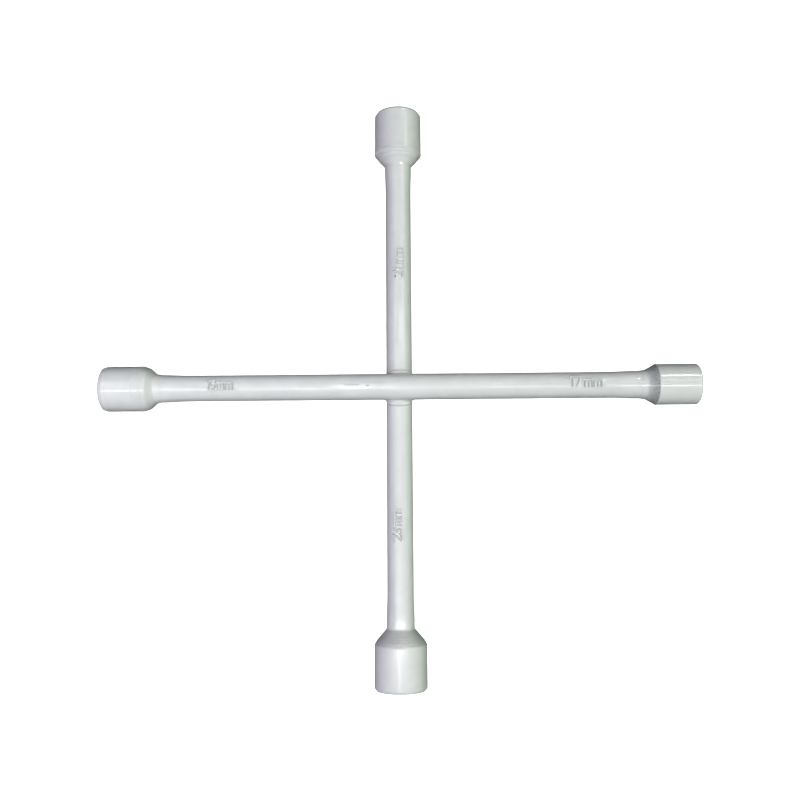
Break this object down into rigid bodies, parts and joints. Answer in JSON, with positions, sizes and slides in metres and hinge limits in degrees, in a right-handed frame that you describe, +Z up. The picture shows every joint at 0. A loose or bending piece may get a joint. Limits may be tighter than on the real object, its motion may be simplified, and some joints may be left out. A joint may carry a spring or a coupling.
{
  "type": "lug wrench",
  "caption": "Cross-shaped lug wrench: two round steel bars welded across each other, each arm ending in a hex socket of a different size, painted light grey all over.",
  "frame": {"origin": "on the ground, under the crossing of both bars; bottom centre of the bounding box", "axes": "+Z up, square to both bars, with the 17/19 bar on top; +X along the upper bar to the 17 mm socket; +Y along the lower bar to the 21 mm socket"},
  "size_m": [0.365, 0.365, 0.0425],
  "materials": {
    "bar_paint": "satin light grey enamel over forged bar",
    "socket_paint": "satin light grey enamel over turned steel",
    "weld_paint": "satin light grey enamel over weld metal"
  },
  "bodies": {
    "root": {"bar_17_19": "bar_paint", "bar_21_23": "bar_paint", "socket_17": "socket_paint", "neck_weld_17": "weld_paint", "crossing_weld_17": "weld_paint", "socket_19": "socket_paint", "neck_weld_19": "weld_paint", "crossing_weld_19": "weld_paint", "socket_21": "socket_paint", "neck_weld_21": "weld_paint", "crossing_weld_21": "weld_paint", "socket_23": "socket_paint", "neck_weld_23": "weld_paint", "crossing_weld_23": "weld_paint"}
  },
  "joints": []
}
